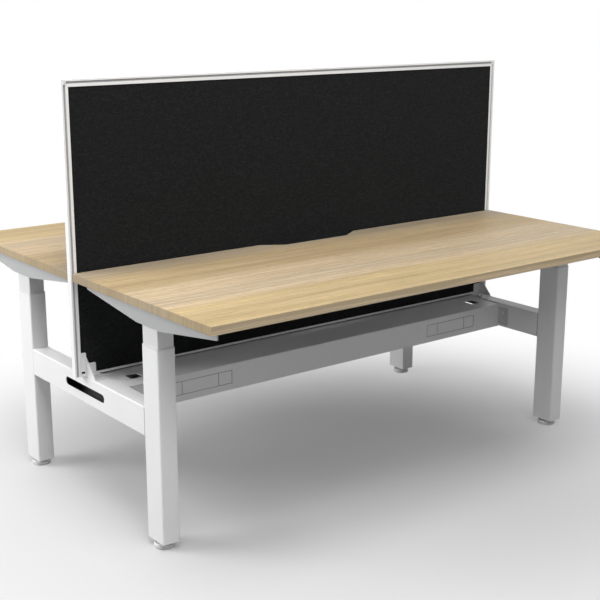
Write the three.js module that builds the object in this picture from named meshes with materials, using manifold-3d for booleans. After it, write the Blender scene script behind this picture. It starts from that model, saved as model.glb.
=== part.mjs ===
// Benching desk for two: back-to-back worktops on lifting columns, with a shared
// cable duct and a fabric screen on the fixed base frame.
// Millimetres, +Z up. X runs along the worktops, the front user sits at -Y.
// The origin is on the floor under the middle of the bench.
import * as THREE from 'three';
import { mergeVertices } from 'three/addons/utils/BufferGeometryUtils.js';
import Module from 'manifold-3d';

const wasm = await Module();
wasm.setup();

// Fits
const SEAT = 0.3; // between two pieces that rest on each other
const ROUND_STEPS = 3; // segments in a rounded tube corner
const SLOT_STEPS = 6; // segments in a quarter of a slot's end
const SCALLOP_STEPS = 4;
const ROD_SIDES = 20;
const LEAST_CORNER = 0.5; // inside a tube whose wall is thicker than its corner
const CUT_PAST = 1; // how far a cutting tool runs past the face that it opens
const WELD = 1e-4; // vertices closer than this are one

// Worktops
const TOP_LENGTH = 1800;
const TOP_DEPTH = 750;
const TOP_THICK = 25;
const TOP_HEIGHT = 755; // working surface above the floor, as photographed
const SCREEN_CLEARANCE = 4; // from the screen to each worktop's back edge
const SCALLOP_MOUTH = 412;
const SCALLOP_FLOOR = 266;
const SCALLOP_DEPTH = 48;
const SCALLOP_ROUND = 8; // how far the rounding of each corner reaches along its two sides

// Legs, the outer tubes of the lifting columns
const LEG_INSET = 58.5; // from the end of the worktop to the leg's axis
const LEG_SPREAD = 809; // between the axes of the front and rear legs
const LEG_WIDTH = 58; // along X
const LEG_DEPTH = 88; // along Y
const LEG_WALL = 2.2;
const LEG_CORNER = 6;
const LEG_FLOOR_GAP = 23;
const COLUMN_SHOWN = 58; // from the collar's rim up to the arm, as photographed
const COLLAR_HEIGHT = 4;

// Inner columns
const COLUMN_PLAY = 0.5; // between the inner column and the leg's inside
const COLUMN_WALL = 2;
const COLUMN_FOOT_GAP = 64; // over the base plate, so that the worktop can also go down

// Lifting gear inside each column
const MOTOR_PLAY = 2; // between the motor and the column's inside
const MOTOR_LENGTH = 78;
const SPINDLE_RADIUS = 7;
const SPINDLE_FOOT_GAP = 102; // over the base plate
const POST_RADIUS = 13;
const POST_BORE_RADIUS = 9;
const NUT_PLAY = 6; // between the nut and the column's inside
const NUT_HEIGHT = 25;
const NUT_BELOW_RIM = 28; // from the leg's rim down to the nut
const BASE_PLATE = 6;
const BASE_PLATE_RAISE = 1; // above the leg's lower end

// Levelling feet
const FOOT_RADIUS = 31;
const FOOT_HEIGHT = 15;
const FOOT_CHAMFER = 4;
const STUD_RADIUS = 5;
const STUD_PAST_PLATE = 9;
const HEXAGON_FLATS = 17; // spanner hexagon under the base plate

// Support arms
const ARM_PLATE = 4;
const ARM_FLANGE_PAST = 3; // flange, beyond the column's inner face
const ARM_DEPTH = 59; // web height over the column
const ARM_END_DEPTH = 20;
const ARM_FLAT = 130; // level stretch of the lower edge over the column
const ARM_FRONT_SETBACK = 16; // from the worktop's front edge
const ARM_BACK_SETBACK = 36; // from the worktop's back edge

// Crossbars under the worktop
const BAR_DEPTH = 40;
const BAR_HEIGHT = 20;
const BAR_WALL = 2;
const BAR_CORNER = 3;
const BAR_OFFSET = 105; // from the columns' axis

// Control box and handset
const BOX_LENGTH = 240;
const BOX_DEPTH = 100;
const BOX_HEIGHT = 36;
const BOX_CORNER = 6;
const INLET_LENGTH = 28;
const INLET_HEIGHT = 20;
const INLET_DEPTH = 12;
const HANDSET_LENGTH = 110;
const HANDSET_DEPTH = 62;
const HANDSET_FRONT = 22;
const HANDSET_BACK = 10;
const HANDSET_FROM_END = 165; // its middle, from the worktop's right end
const HANDSET_SETBACK = 2;
const BUTTON_LENGTH = 18;
const BUTTON_HEIGHT = 12;
const BUTTON_PITCH = 30;
const BUTTON_PROUD = 1.8;
const BUTTON_SUNK = 1.6;
const BUTTON_TRAVEL = 1.5;
const BUTTON_PLAY = 0.4;

// Cross rails
const RAIL_HEIGHT = 90;
const RAIL_TOP = 424.5;
const RAIL_WALL = 2.5;
const RAIL_CORNER = 4;
const SLOT_LENGTH = 250;
const SLOT_HEIGHT = 27;

// Cable duct
const DUCT_DEPTH = 340; // along Y, over both walls
const DUCT_SHEET = 2;
const LID_BELOW_RAIL = 3.2; // from the rail's top down to the lid's top
const HOLE_LENGTH = 40; // square cable holes in the lid, along X
const HOLE_DEPTH = 42;
const HOLE_FROM_RAIL = 67; // hole's middle, from the rail
const HOLE_FROM_MIDDLE = 88;
const TAB_LENGTH = 47; // end tabs that bolt on the rails
const TAB_MARGIN = 8; // tab's ends, from the duct's floor and lid
const OUTLET_LENGTH = 240; // scored outlet panels in the duct's walls
const OUTLET_HEIGHT = 43;
const OUTLET_CENTRE = 137; // the middle panel of the three
const OUTLET_FROM_RAIL = 260;
const SCORE_WIDTH = 1.6;
const SCORE_DEPTH = 0.8;

// Screen
const SCREEN_TOP = 1329;
const SCREEN_THICK = 20;
const SCREEN_PAST_TOP = 4; // beyond the worktop, at each end
const FRAME_FACE = 21.5; // frame width seen from the front
const FRAME_SILL = 9.5; // height of the bottom extrusion
const FRAME_EDGE = 5.5; // outer lip, as far as the shadow groove
const GROOVE_WIDTH = 7;
const GROOVE_DEPTH = 4;
const FRAME_LIP = 1; // holds the panel's edge on each face
const PANEL_IN_SLOT = 6;
const SILL_SLOT = 5;

// Screen brackets
const BRACKET_PLATE = 3;
const BRACKET_INSET = 1; // web, from the rail's outer face
const BRACKET_BASE_LENGTH = 61; // along Y on the rail
const BRACKET_BASE_WIDTH = 47;
const BRACKET_WEB_TOP = 64; // where the web's slope meets the back plate
const BRACKET_EAR_HEIGHT = 77; // outer part of the back plate
const BRACKET_EAR_OUTSIDE = 16.5; // outer part, beyond the web
const BRACKET_TAB_HEIGHT = 41;
const BRACKET_TAB_LENGTH = 32;
const BRACKET_HOLE_LENGTH = 12;
const BRACKET_HOLE_HEIGHT = 8;
const BRACKET_HOLE_RISE = 13;

function innerCorner(corner, wall) {
  return Math.max(corner - wall, LEAST_CORNER);
}

// Places that follow from the sizes above
const topUnderside = TOP_HEIGHT - TOP_THICK;
const topBack = SCREEN_THICK / 2 + SCREEN_CLEARANCE;
const topFront = topBack + TOP_DEPTH;
const legX = TOP_LENGTH / 2 - LEG_INSET;
const legY = LEG_SPREAD / 2;
const armLow = topUnderside - ARM_DEPTH;
const legTop = armLow - COLUMN_SHOWN;
const collarFoot = legTop - COLLAR_HEIGHT;
const boreWidth = LEG_WIDTH - 2 * LEG_WALL;
const boreDepth = LEG_DEPTH - 2 * LEG_WALL;
const boreCorner = innerCorner(LEG_CORNER, LEG_WALL);
const columnWidth = boreWidth - 2 * COLUMN_PLAY;
const columnDepth = boreDepth - 2 * COLUMN_PLAY;
const columnCorner = innerCorner(boreCorner, COLUMN_PLAY);
const columnInside = columnWidth / 2 - COLUMN_WALL;
const postFoot = LEG_FLOOR_GAP + BASE_PLATE_RAISE;
const plateTop = postFoot + BASE_PLATE;
const nutTop = legTop - NUT_BELOW_RIM;
const armTop = topUnderside - SEAT;
const flangeUnderside = armTop - ARM_PLATE;
const hangFrom = flangeUnderside - SEAT; // columns, motors and crossbars end here
const webInner = legX + columnWidth / 2 + SEAT;
const webOuter = webInner + ARM_PLATE;
const flangeInner = legX - columnWidth / 2 - ARM_FLANGE_PAST;
const railInner = legX - LEG_WIDTH / 2;
const railOuter = legX + LEG_WIDTH / 2;
const railBottom = RAIL_TOP - RAIL_HEIGHT;
const lidTop = RAIL_TOP - LID_BELOW_RAIL;
const lidUnderside = lidTop - DUCT_SHEET;
const troughTop = lidUnderside - SEAT;
const ductEnd = railInner - SEAT;
const screenEnd = TOP_LENGTH / 2 + SCREEN_PAST_TOP;
const screenFoot = RAIL_TOP + SEAT;
const panelThick = SCREEN_THICK - 2 * (FRAME_LIP + SEAT);
const bracketBack = SCREEN_THICK / 2 + SEAT;
const bracketFoot = RAIL_TOP + SEAT;

// Materials, with colours read from the photograph
function paint(color, roughness, metalness) {
  return new THREE.MeshStandardMaterial({ color, roughness, metalness });
}

const MATERIALS = {
  oak: paint(0xcdb592, 0.55, 0),
  white: paint(0xf0f0ee, 0.45, 0.1),
  foot: paint(0xe4e4e2, 0.6, 0),
  collar: paint(0xe8e8e6, 0.6, 0),
  fabric: paint(0x1d1d1f, 0.95, 0),
  steel: paint(0x9a9da0, 0.35, 0.9),
  plastic: paint(0x2a2b2d, 0.6, 0),
  button: paint(0x5a5c5f, 0.5, 0),
};

// Solids
function toManifold(geometry) {
  const bare = geometry.clone();
  bare.deleteAttribute('normal');
  bare.deleteAttribute('uv');
  const merged = mergeVertices(bare, WELD);
  return new wasm.Manifold(new wasm.Mesh({
    numProp: 3,
    vertProperties: new Float32Array(merged.attributes.position.array),
    triVerts: new Uint32Array(merged.index.array),
  }));
}

function toGeometry(manifold) {
  const mesh = manifold.getMesh();
  const geometry = new THREE.BufferGeometry();
  geometry.setAttribute('position', new THREE.BufferAttribute(mesh.vertProperties, 3));
  geometry.setIndex(new THREE.BufferAttribute(mesh.triVerts, 1));
  geometry.computeVertexNormals();
  return geometry;
}

function cut(geometry, tools) {
  const solid = tools.reduce((rest, tool) => rest.subtract(toManifold(tool)), toManifold(geometry));
  return toGeometry(solid);
}

function join(pieces) {
  const [first, ...others] = pieces.map(toManifold);
  return toGeometry(others.reduce((sum, piece) => sum.add(piece), first));
}

// A box between two corners.
function block(from, to) {
  const size = to.map((value, axis) => Math.abs(value - from[axis]));
  const middle = to.map((value, axis) => (value + from[axis]) / 2);
  return new THREE.BoxGeometry(...size).translate(...middle);
}

function roundedRectangle(width, height, corner, Outline = THREE.Shape) {
  const x = width / 2 - corner;
  const y = height / 2 - corner;
  const outline = new Outline();
  outline.absarc(x, -y, corner, -Math.PI / 2, 0, false);
  outline.absarc(x, y, corner, 0, Math.PI / 2, false);
  outline.absarc(-x, y, corner, Math.PI / 2, Math.PI, false);
  outline.absarc(-x, -y, corner, Math.PI, 1.5 * Math.PI, false);
  outline.closePath();
  return outline;
}

function extrude(shape, depth, curveSegments = ROUND_STEPS) {
  return new THREE.ExtrudeGeometry(shape, { depth, curveSegments, bevelEnabled: false });
}

// Rectangular tube standing on z = 0, open at both ends.
function rectangularTube(width, depth, wall, corner, length) {
  const section = roundedRectangle(width, depth, corner);
  const inside = innerCorner(corner, wall);
  section.holes.push(roundedRectangle(width - 2 * wall, depth - 2 * wall, inside, THREE.Path));
  return extrude(section, length);
}

// Turned piece about Z from [radius, height] pairs that close on the axis.
function turned(profile, sides = ROD_SIDES) {
  const points = profile.map(([radius, height]) => new THREE.Vector2(radius, height));
  return new THREE.LatheGeometry(points, sides).rotateX(Math.PI / 2);
}

function rod(radius, foot, head, sides = ROD_SIDES) {
  return turned([[0, foot], [radius, foot], [radius, head], [0, head]], sides);
}

// Plate in the YZ plane: an outline of [y, z] pairs, thick from x0 to x1.
function sidePlate(outline, x0, x1) {
  const shape = new THREE.Shape(outline.map(([y, z]) => new THREE.Vector2(y, z)));
  const plate = extrude(shape, Math.abs(x1 - x0));
  plate.rotateZ(Math.PI / 2).rotateY(Math.PI / 2);
  return plate.translate(Math.min(x0, x1), 0, 0);
}

const bench = new THREE.Group();

function place(name, geometry, material, parent = bench) {
  const mesh = new THREE.Mesh(geometry, MATERIALS[material]);
  mesh.name = name;
  parent.add(mesh);
  return mesh;
}

const sideName = (sign) => (sign < 0 ? 'left' : 'right');
const rowName = (sign) => (sign < 0 ? 'front' : 'rear');
const SIGNS = [-1, 1];

// Base frame: legs with their collars, nut posts and feet
function legTube() {
  return rectangularTube(LEG_WIDTH, LEG_DEPTH, LEG_WALL, LEG_CORNER, collarFoot - SEAT - LEG_FLOOR_GAP);
}

function guideCollar() {
  const ring = roundedRectangle(LEG_WIDTH, LEG_DEPTH, LEG_CORNER);
  const openWidth = columnWidth + 2 * SEAT;
  const openDepth = columnDepth + 2 * SEAT;
  ring.holes.push(roundedRectangle(openWidth, openDepth, columnCorner + SEAT, THREE.Path));
  return extrude(ring, COLLAR_HEIGHT);
}

// Base plate inside the leg with a hollow post, and the spindle's nut on top of the post.
function nutPost(height) {
  const corner = innerCorner(boreCorner, SEAT);
  const plate = extrude(
    roundedRectangle(boreWidth - 2 * SEAT, boreDepth - 2 * SEAT, corner), BASE_PLATE);
  const nutRadius = columnInside - NUT_PLAY;
  const nutFoot = height - NUT_HEIGHT;
  const post = turned([
    [0, BASE_PLATE / 2], [POST_RADIUS, BASE_PLATE / 2], [POST_RADIUS, nutFoot],
    [nutRadius, nutFoot], [nutRadius, height], [0, height],
  ]);
  const spindleBore = SPINDLE_RADIUS + SEAT;
  const bore = turned([
    [0, BASE_PLATE], [POST_BORE_RADIUS, BASE_PLATE], [POST_BORE_RADIUS, nutFoot],
    [spindleBore, nutFoot], [spindleBore, height + CUT_PAST], [0, height + CUT_PAST],
  ]);
  const thread = rod(STUD_RADIUS + SEAT, -CUT_PAST, BASE_PLATE + CUT_PAST);
  return cut(join([plate, post]), [bore, thread]);
}

// Disc and stud, with the spanner hexagon that stops under the base plate.
function levellingFoot() {
  const middle = FOOT_HEIGHT / 2;
  const disc = turned([
    [0, 0], [FOOT_RADIUS, 0], [FOOT_RADIUS, FOOT_HEIGHT - FOOT_CHAMFER],
    [FOOT_RADIUS - FOOT_CHAMFER, FOOT_HEIGHT], [0, FOOT_HEIGHT],
  ]);
  const hexagonTop = postFoot - SEAT;
  const across = HEXAGON_FLATS / Math.sqrt(3);
  const hexagon = rod(across, middle, hexagonTop, 6);
  const stud = rod(STUD_RADIUS, middle, plateTop + STUD_PAST_PLATE);
  return join([disc, hexagon, stud]);
}

for (const row of SIGNS) {
  for (const side of SIGNS) {
    const corner = `${rowName(row)}_${sideName(side)}`;
    const stand = new THREE.Group();
    stand.position.set(side * legX, row * legY, 0);
    bench.add(stand);
    place(`leg_${corner}`, legTube(), 'white', stand).position.z = LEG_FLOOR_GAP;
    place(`leg_collar_${corner}`, guideCollar(), 'collar', stand).position.z = collarFoot;
    place(`nut_post_${corner}`, nutPost(nutTop - postFoot), 'steel', stand).position.z = postFoot;
    place(`foot_${corner}`, levellingFoot(), 'foot', stand);
  }
}

// Cross rails: a tube along Y with the same cable slot through both upright faces
function crossRail() {
  const length = LEG_SPREAD - LEG_DEPTH - 2 * SEAT;
  const tube = rectangularTube(LEG_WIDTH, RAIL_HEIGHT, RAIL_WALL, RAIL_CORNER, length);
  tube.translate(0, 0, -length / 2).rotateX(Math.PI / 2);
  const reach = LEG_WIDTH;
  const outline = roundedRectangle(SLOT_LENGTH, SLOT_HEIGHT, SLOT_HEIGHT / 2);
  const slot = extrude(outline, 2 * reach, SLOT_STEPS);
  slot.translate(0, 0, -reach).rotateX(Math.PI / 2).rotateZ(Math.PI / 2);
  return cut(tube, [slot]);
}

for (const side of SIGNS) {
  const rail = place(`cross_rail_${sideName(side)}`, crossRail(), 'white');
  rail.position.set(side * legX, 0, railBottom + RAIL_HEIGHT / 2);
}

// Cable duct: a folded trough with end tabs and scored outlet panels, and a flat lid
function outletScores(wallFace, inward) {
  const middleZ = (railBottom + lidTop) / 2;
  const low = middleZ - OUTLET_HEIGHT / 2;
  const high = middleZ + OUTLET_HEIGHT / 2;
  const outside = wallFace - inward * SCORE_DEPTH;
  const inside = wallFace + inward * SCORE_DEPTH;
  const scores = [];
  for (const side of SIGNS) {
    const middleX = side * (railInner - OUTLET_FROM_RAIL);
    for (const edge of [low, high]) {
      const from = [middleX - OUTLET_LENGTH / 2, outside, edge - SCORE_WIDTH / 2];
      const to = [middleX + OUTLET_LENGTH / 2, inside, edge + SCORE_WIDTH / 2];
      scores.push(block(from, to));
    }
    for (const offset of [-OUTLET_LENGTH / 2, -OUTLET_CENTRE / 2, OUTLET_CENTRE / 2, OUTLET_LENGTH / 2]) {
      const x = middleX + offset;
      const from = [x - SCORE_WIDTH / 2, outside, low - SCORE_WIDTH / 2];
      const to = [x + SCORE_WIDTH / 2, inside, high + SCORE_WIDTH / 2];
      scores.push(block(from, to));
    }
  }
  return scores;
}

function ductTrough() {
  const wall = DUCT_DEPTH / 2;
  const pieces = [block([-ductEnd, -wall, railBottom], [ductEnd, wall, railBottom + DUCT_SHEET])];
  const scores = [];
  for (const row of SIGNS) {
    const face = row * wall;
    const inner = row * (wall - DUCT_SHEET);
    pieces.push(block([-ductEnd, face, railBottom], [ductEnd, inner, troughTop]));
    for (const side of SIGNS) {
      const tabEnd = row * (wall + TAB_LENGTH);
      pieces.push(block(
        [side * ductEnd, inner, railBottom + TAB_MARGIN],
        [side * (ductEnd - DUCT_SHEET), tabEnd, troughTop - TAB_MARGIN]));
    }
    scores.push(...outletScores(face, -row));
  }
  return cut(join(pieces), scores);
}

function ductLid() {
  const half = DUCT_DEPTH / 2;
  const holes = [];
  for (const side of SIGNS) {
    for (const row of SIGNS) {
      const x = side * (railInner - HOLE_FROM_RAIL);
      const y = row * HOLE_FROM_MIDDLE;
      const from = [x - HOLE_LENGTH / 2, y - HOLE_DEPTH / 2, lidUnderside - CUT_PAST];
      const to = [x + HOLE_LENGTH / 2, y + HOLE_DEPTH / 2, lidTop + CUT_PAST];
      holes.push(block(from, to));
    }
  }
  return cut(block([-ductEnd, -half, lidUnderside], [ductEnd, half, lidTop]), holes);
}

place('cable_duct_trough', ductTrough(), 'white');
place('cable_duct_lid', ductLid(), 'white');

// Screen: extruded frame with a shadow groove near its outer edge and a slot for the panel
const grooveEnd = FRAME_EDGE + GROOVE_WIDTH;

function frameProfile(face, grooved, slot) {
  const half = SCREEN_THICK / 2;
  const grooveFloor = half - GROOVE_DEPTH;
  const slotHalf = panelThick / 2 + SEAT;
  const groove = [
    [FRAME_EDGE, -half], [FRAME_EDGE, -grooveFloor], [grooveEnd, -grooveFloor], [grooveEnd, -half],
  ];
  const front = [
    [0, -half], ...(grooved ? groove : []), [face, -half], [face, -slotHalf], [face - slot, -slotHalf],
  ];
  const back = front.map(([inset, y]) => [inset, -y]).reverse();
  return [...front, ...back];
}

// A bar along X whose ends step back by the profile's inset where they are mitred.
// Profile points are [inset from the frame's outer edge, y]; the bar lies below z = 0.
function frameBar(profile, length, mitreStart, mitreEnd) {
  const shape = new THREE.Shape(profile.map(([inset, y]) => new THREE.Vector2(inset, y)));
  const bar = extrude(shape, length);
  const position = bar.attributes.position;
  for (let i = 0; i < position.count; i += 1) {
    const inset = position.getX(i);
    const along = position.getZ(i);
    const atStart = along < length / 2;
    const mitred = atStart ? mitreStart : mitreEnd;
    const step = mitred ? inset : 0;
    const x = atStart ? step - length / 2 : length / 2 - step;
    position.setXYZ(i, x, position.getY(i), -inset);
  }
  bar.computeVertexNormals();
  return bar;
}

const headProfile = frameProfile(FRAME_FACE, true, PANEL_IN_SLOT);
const sillProfile = frameProfile(FRAME_SILL, false, SILL_SLOT);
const screenHeight = SCREEN_TOP - screenFoot;
const mitreSeat = SEAT * Math.SQRT2; // opens each mitre by the seat

const headLength = 2 * (screenEnd - mitreSeat);
const head = place('screen_frame_top', frameBar(headProfile, headLength, true, true), 'white');
head.position.z = SCREEN_TOP;
for (const side of SIGNS) {
  const bar = frameBar(headProfile, screenHeight, side > 0, side < 0);
  const post = place(`screen_frame_${sideName(side)}`, bar, 'white');
  post.rotation.y = side * Math.PI / 2;
  post.position.set(side * screenEnd, 0, screenFoot + screenHeight / 2);
}
const sillLength = 2 * (screenEnd - FRAME_FACE - SEAT);
const sill = place('screen_frame_bottom', frameBar(sillProfile, sillLength, false, false), 'white');
sill.rotation.x = Math.PI;
sill.position.z = screenFoot;

const panelEnd = screenEnd - FRAME_FACE + PANEL_IN_SLOT - SEAT;
const panelFoot = screenFoot + FRAME_SILL - SILL_SLOT + SEAT;
const panelHead = SCREEN_TOP - FRAME_FACE + PANEL_IN_SLOT - SEAT;
place('screen_panel', block(
  [-panelEnd, -panelThick / 2, panelFoot], [panelEnd, panelThick / 2, panelHead]), 'fabric');

// Screen brackets: base on the rail, gusset web, and a back plate against the screen
function screenBracket(side, row) {
  const outer = railOuter - BRACKET_INSET;
  const inner = outer - BRACKET_PLATE;
  const back = row * bracketBack;
  const front = row * (bracketBack + BRACKET_PLATE);
  const reach = row * (bracketBack + BRACKET_BASE_LENGTH);
  const deck = bracketFoot + BRACKET_PLATE;
  const base = block(
    [side * outer, back, bracketFoot], [side * (outer - BRACKET_BASE_WIDTH), reach, deck]);
  const web = sidePlate(
    [[back, bracketFoot], [reach, bracketFoot], [reach, deck],
      [front, bracketFoot + BRACKET_WEB_TOP], [back, bracketFoot + BRACKET_WEB_TOP]],
    side * inner, side * outer);
  const ear = block(
    [side * (outer + BRACKET_EAR_OUTSIDE), back, bracketFoot],
    [side * inner, front, bracketFoot + BRACKET_EAR_HEIGHT]);
  const tab = block(
    [side * outer, back, bracketFoot],
    [side * (inner - BRACKET_TAB_LENGTH), front, bracketFoot + BRACKET_TAB_HEIGHT]);
  const holeX = outer + BRACKET_EAR_OUTSIDE / 2;
  const holeZ = bracketFoot + BRACKET_HOLE_RISE;
  const past = row * CUT_PAST;
  const hole = block(
    [side * (holeX - BRACKET_HOLE_LENGTH / 2), back - past, holeZ - BRACKET_HOLE_HEIGHT / 2],
    [side * (holeX + BRACKET_HOLE_LENGTH / 2), front + past, holeZ + BRACKET_HOLE_HEIGHT / 2]);
  return cut(join([base, web, ear, tab]), [hole]);
}

for (const row of SIGNS) {
  for (const side of SIGNS) {
    place(`screen_bracket_${rowName(row)}_${sideName(side)}`, screenBracket(side, row), 'white');
  }
}

// Lifting worktop of the front user; the rear one is the same, turned half round
function worktop() {
  const end = TOP_LENGTH / 2;
  const mouth = SCALLOP_MOUTH / 2;
  const floor = SCALLOP_FLOOR / 2;
  const dip = -topBack - SCALLOP_DEPTH;
  const ramp = Math.hypot(mouth - floor, SCALLOP_DEPTH);
  const alongX = (SCALLOP_ROUND * (mouth - floor)) / ramp;
  const alongY = (SCALLOP_ROUND * SCALLOP_DEPTH) / ramp;
  const outline = new THREE.Shape();
  outline.moveTo(-end, -topFront);
  outline.lineTo(end, -topFront);
  outline.lineTo(end, -topBack);
  outline.lineTo(mouth + SCALLOP_ROUND, -topBack);
  outline.quadraticCurveTo(mouth, -topBack, mouth - alongX, -topBack - alongY);
  outline.lineTo(floor + alongX, dip + alongY);
  outline.quadraticCurveTo(floor, dip, floor - SCALLOP_ROUND, dip);
  outline.lineTo(SCALLOP_ROUND - floor, dip);
  outline.quadraticCurveTo(-floor, dip, -floor - alongX, dip + alongY);
  outline.lineTo(alongX - mouth, -topBack - alongY);
  outline.quadraticCurveTo(-mouth, -topBack, -mouth - SCALLOP_ROUND, -topBack);
  outline.lineTo(-end, -topBack);
  outline.closePath();
  return extrude(outline, TOP_THICK, SCALLOP_STEPS).translate(0, 0, topUnderside);
}

function supportArm(side) {
  const front = -(topFront - ARM_FRONT_SETBACK);
  const back = -(topBack + ARM_BACK_SETBACK);
  const endLow = topUnderside - ARM_END_DEPTH;
  const web = sidePlate(
    [[front, armTop], [front, endLow], [-legY - ARM_FLAT / 2, armLow],
      [-legY + ARM_FLAT / 2, armLow], [back, endLow], [back, armTop]],
    side * webInner, side * webOuter);
  const flange = block(
    [side * webOuter, front, flangeUnderside], [side * flangeInner, back, armTop]);
  return join([web, flange]);
}

function innerColumn() {
  const foot = plateTop + COLUMN_FOOT_GAP;
  const tube = rectangularTube(columnWidth, columnDepth, COLUMN_WALL, columnCorner, hangFrom - foot);
  return tube.translate(0, 0, foot);
}

function gearMotor() {
  return rod(columnInside - MOTOR_PLAY, hangFrom - MOTOR_LENGTH, hangFrom);
}

function liftingSpindle() {
  return rod(SPINDLE_RADIUS, plateTop + SPINDLE_FOOT_GAP, hangFrom - MOTOR_LENGTH - SEAT);
}

function crossbar() {
  const length = 2 * (webInner - SEAT);
  const tube = rectangularTube(BAR_HEIGHT, BAR_DEPTH, BAR_WALL, BAR_CORNER, length);
  return tube.translate(0, 0, -length / 2).rotateY(Math.PI / 2);
}

function controlBox() {
  const top = topUnderside - SEAT;
  const body = extrude(roundedRectangle(BOX_LENGTH, BOX_DEPTH, BOX_CORNER), BOX_HEIGHT);
  body.translate(0, -legY, top - BOX_HEIGHT);
  const face = -legY + BOX_DEPTH / 2;
  const middle = top - BOX_HEIGHT / 2;
  const inlet = block(
    [-INLET_LENGTH / 2, face - INLET_DEPTH, middle - INLET_HEIGHT / 2],
    [INLET_LENGTH / 2, face + CUT_PAST, middle + INLET_HEIGHT / 2]);
  return cut(body, [inlet]);
}

const handsetX = TOP_LENGTH / 2 - HANDSET_FROM_END;
const handsetFace = -topFront + HANDSET_SETBACK;
const handsetTop = topUnderside - SEAT;
const buttonZ = handsetTop - HANDSET_FRONT / 2;
const pocketDepth = BUTTON_SUNK + BUTTON_TRAVEL + SEAT;

function handset() {
  const rear = handsetFace + HANDSET_DEPTH;
  const body = sidePlate(
    [[handsetFace, handsetTop], [handsetFace, handsetTop - HANDSET_FRONT],
      [rear, handsetTop - HANDSET_BACK], [rear, handsetTop]],
    handsetX - HANDSET_LENGTH / 2, handsetX + HANDSET_LENGTH / 2);
  const reachX = BUTTON_LENGTH / 2 + BUTTON_PLAY;
  const reachZ = BUTTON_HEIGHT / 2 + BUTTON_PLAY;
  const pockets = SIGNS.map((sign) => {
    const x = handsetX + sign * BUTTON_PITCH / 2;
    return block(
      [x - reachX, handsetFace - CUT_PAST, buttonZ - reachZ],
      [x + reachX, handsetFace + pocketDepth, buttonZ + reachZ]);
  });
  return cut(body, pockets);
}

function pushButton(sign) {
  const x = handsetX + sign * BUTTON_PITCH / 2;
  return block(
    [x - BUTTON_LENGTH / 2, handsetFace - BUTTON_PROUD, buttonZ - BUTTON_HEIGHT / 2],
    [x + BUTTON_LENGTH / 2, handsetFace + BUTTON_SUNK, buttonZ + BUTTON_HEIGHT / 2]);
}

for (const row of SIGNS) {
  const user = rowName(row);
  const station = new THREE.Group();
  station.rotation.z = row < 0 ? 0 : Math.PI;
  bench.add(station);
  place(`${user}_worktop`, worktop(), 'oak', station);
  for (const side of SIGNS) {
    const end = sideName(-row * side);
    place(`${user}_arm_${end}`, supportArm(side), 'white', station);
    const lift = new THREE.Group();
    lift.position.set(side * legX, -legY, 0);
    station.add(lift);
    place(`${user}_column_${end}`, innerColumn(), 'white', lift);
    place(`${user}_motor_${end}`, gearMotor(), 'steel', lift);
    place(`${user}_spindle_${end}`, liftingSpindle(), 'steel', lift);
  }
  for (const [label, sign] of [['outer', -1], ['inner', 1]]) {
    const bar = place(`${user}_crossbar_${label}`, crossbar(), 'white', station);
    bar.position.set(0, -legY + sign * BAR_OFFSET, hangFrom - BAR_HEIGHT / 2);
  }
  place(`${user}_control_box`, controlBox(), 'plastic', station);
  place(`${user}_handset`, handset(), 'plastic', station);
  place(`${user}_button_down`, pushButton(-1), 'button', station);
  place(`${user}_button_up`, pushButton(1), 'button', station);
}

export default bench;
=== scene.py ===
import math

import bmesh
import bpy
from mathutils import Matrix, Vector


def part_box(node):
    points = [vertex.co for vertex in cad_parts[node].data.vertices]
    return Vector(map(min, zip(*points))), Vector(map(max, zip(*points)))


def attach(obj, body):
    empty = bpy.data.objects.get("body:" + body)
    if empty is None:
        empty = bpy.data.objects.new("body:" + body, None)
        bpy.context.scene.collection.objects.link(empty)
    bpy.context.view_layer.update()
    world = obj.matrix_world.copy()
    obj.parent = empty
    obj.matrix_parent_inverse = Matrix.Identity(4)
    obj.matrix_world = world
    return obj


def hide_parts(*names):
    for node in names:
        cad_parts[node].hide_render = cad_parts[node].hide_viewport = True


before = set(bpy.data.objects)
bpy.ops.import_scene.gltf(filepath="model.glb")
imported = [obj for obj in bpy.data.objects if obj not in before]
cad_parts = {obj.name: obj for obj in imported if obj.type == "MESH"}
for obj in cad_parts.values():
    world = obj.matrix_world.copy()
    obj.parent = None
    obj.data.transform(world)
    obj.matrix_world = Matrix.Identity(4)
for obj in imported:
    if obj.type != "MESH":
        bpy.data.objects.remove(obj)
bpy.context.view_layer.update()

scene = bpy.context.scene


# Camera: stands off the bench's front left corner, a little above the worktops,
# with a long lens. Its place, turn and lens were worked out from the straight
# edges of the bench for a square picture of 600 by 600.
lens = bpy.data.cameras.new("camera")
lens.sensor_width = 36.0
lens.lens = 70.65
lens.clip_end = 60.0
camera = bpy.data.objects.new("camera", lens)
camera.location = (-2.4728, -3.1536, 1.5566)
camera.rotation_euler = (math.radians(75.626), 0.0, math.radians(-37.837))
scene.collection.objects.link(camera)
scene.camera = camera


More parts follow.
